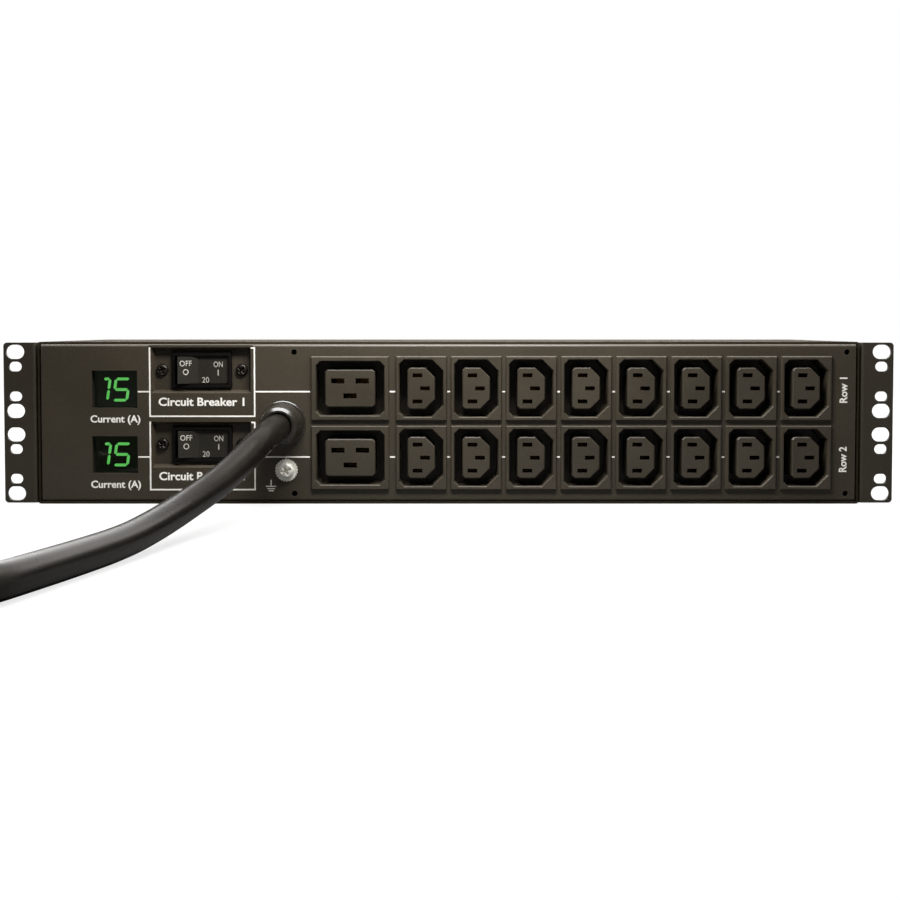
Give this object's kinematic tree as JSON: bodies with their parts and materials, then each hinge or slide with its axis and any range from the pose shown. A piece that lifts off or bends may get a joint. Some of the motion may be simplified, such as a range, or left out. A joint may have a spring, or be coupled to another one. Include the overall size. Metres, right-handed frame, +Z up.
{
  "type": "rack power distribution unit",
  "caption": "Rack-mount power distribution unit: folded steel case with slotted ears, digital current meters, rocker breakers, rows of moulded outlets and a supply cord.",
  "frame": {"origin": "middle of the underside of the case, measured without the free cord", "axes": "+X to the right along the front panel, +Y from the front panel to the rear wall, +Z up"},
  "size_m": [0.6447, 0.4612, 0.087],
  "materials": {
    "panel_paint": "satin fine-textured black powder coat",
    "case_paint": "satin fine-textured black powder coat",
    "ear_paint": "satin black powder coat",
    "black_screw": "black oxide",
    "bright_screw": "zinc plated",
    "outlet_plastic": "moulded, satin",
    "contact_brass": "rolled",
    "breaker_plastic": "moulded, matte",
    "rocker_plastic": "moulded, satin",
    "bezel_plastic": "moulded, matte",
    "smoked_window": "smoked, clear",
    "display_case": "moulded, with green lit segments",
    "circuit_board": "solder mask",
    "spacer_nylon": "nylon",
    "gland_nylon": "moulded nylon, satin",
    "cord_jacket": "extruded jacket, satin",
    "tie_strap": "woven strap",
    "plug_rubber": "moulded, matte",
    "block_plastic": "moulded, matte",
    "sensor_resin": "potted",
    "line_insulation": "insulated wire",
    "neutral_insulation": "insulated wire",
    "earth_insulation": "insulated wire"
  },
  "bodies": {
    "unit": {"front_panel": "panel_paint", "base_pan": "case_paint", "top_cover": "case_paint", "rack_ear_left": "ear_paint", "rack_ear_right": "ear_paint", "ear_screws": "black_screw", "cover_screws": "black_screw", "breaker_screws": "black_screw", "ground_screw": "bright_screw", "ground_washer": "bright_screw", "ground_nut": "bright_screw", "bank_1_outlet_1": "outlet_plastic", "bank_1_outlet_2": "outlet_plastic", "bank_1_outlet_3": "outlet_plastic", "bank_1_outlet_4": "outlet_plastic", "bank_1_outlet_5": "outlet_plastic", "bank_1_outlet_6": "outlet_plastic", "bank_1_outlet_7": "outlet_plastic", "bank_1_outlet_8": "outlet_plastic", "bank_2_outlet_1": "outlet_plastic", "bank_2_outlet_2": "outlet_plastic", "bank_2_outlet_3": "outlet_plastic", "bank_2_outlet_4": "outlet_plastic", "bank_2_outlet_5": "outlet_plastic", "bank_2_outlet_6": "outlet_plastic", "bank_2_outlet_7": "outlet_plastic", "bank_2_outlet_8": "outlet_plastic", "bank_1_large_outlet": "outlet_plastic", "bank_2_large_outlet": "outlet_plastic", "line_bus_bars": "contact_brass", "neutral_bus_bars": "contact_brass", "earth_bus_bars": "contact_brass", "breaker_terminals": "contact_brass", "plug_blades": "contact_brass", "breaker_1_body": "breaker_plastic", "breaker_2_body": "breaker_plastic", "meter_1_bezel": "bezel_plastic", "meter_2_bezel": "bezel_plastic", "meter_1_lens": "smoked_window", "meter_2_lens": "smoked_window", "meter_1_display": "display_case", "meter_2_display": "display_case", "meter_board": "circuit_board", "board_spacers": "spacer_nylon", "gland_body": "gland_nylon", "gland_nut": "gland_nylon", "gland_locknut": "gland_nylon", "power_cord": "cord_jacket", "cord_coil": "cord_jacket", "cord_tail": "cord_jacket", "cord_tie": "tie_strap", "plug_body": "plug_rubber", "terminal_block": "block_plastic", "current_sensor_1": "sensor_resin", "current_sensor_2": "sensor_resin", "line_wires": "line_insulation", "neutral_wires": "neutral_insulation", "earth_wires": "earth_insulation"},
    "rocker_1": {"breaker_1_rocker": "rocker_plastic"},
    "rocker_2": {"breaker_2_rocker": "rocker_plastic"}
  },
  "joints": [
    {"name": "rocker_1_turn", "type": "hinge", "parent": "unit", "child": "rocker_1", "pos_m": [-0.1326, -0.0525, 0.0718], "axis": [0, 0, 1], "range_deg": [-19.7, 0]},
    {"name": "rocker_2_turn", "type": "hinge", "parent": "unit", "child": "rocker_2", "pos_m": [-0.1326, -0.0525, 0.0318], "axis": [0, 0, 1], "range_deg": [-19.7, 0]}
  ]
}
